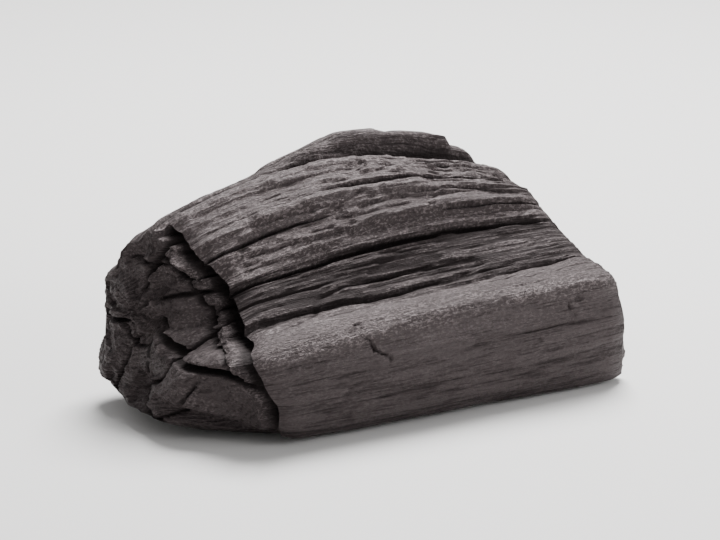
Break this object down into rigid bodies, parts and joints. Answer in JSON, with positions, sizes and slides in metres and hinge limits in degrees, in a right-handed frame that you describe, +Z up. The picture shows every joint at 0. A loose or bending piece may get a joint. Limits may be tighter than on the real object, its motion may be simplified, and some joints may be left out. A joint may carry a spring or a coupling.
{
  "type": "charcoal lump",
  "caption": "Split and broken piece of charred hardwood, grain along its length: ridged front, stepped and cracked top, a cracked shell round the core at its left end; rests on its belly.",
  "frame": {"origin": "centre of the lump's box in plan, at the surface that it rests on", "axes": "+X along the grain, -Y out of the split front face, +Z up from the belly"},
  "size_m": [0.1496, 0.0756, 0.0745],
  "materials": {
    "charcoal": "charred wood, matte to faintly silky along the fibres, with grey ash dust on the high grain and soot-black cracks"
  },
  "bodies": {
    "root": {"charcoal_lump": "charcoal"}
  },
  "joints": []
}
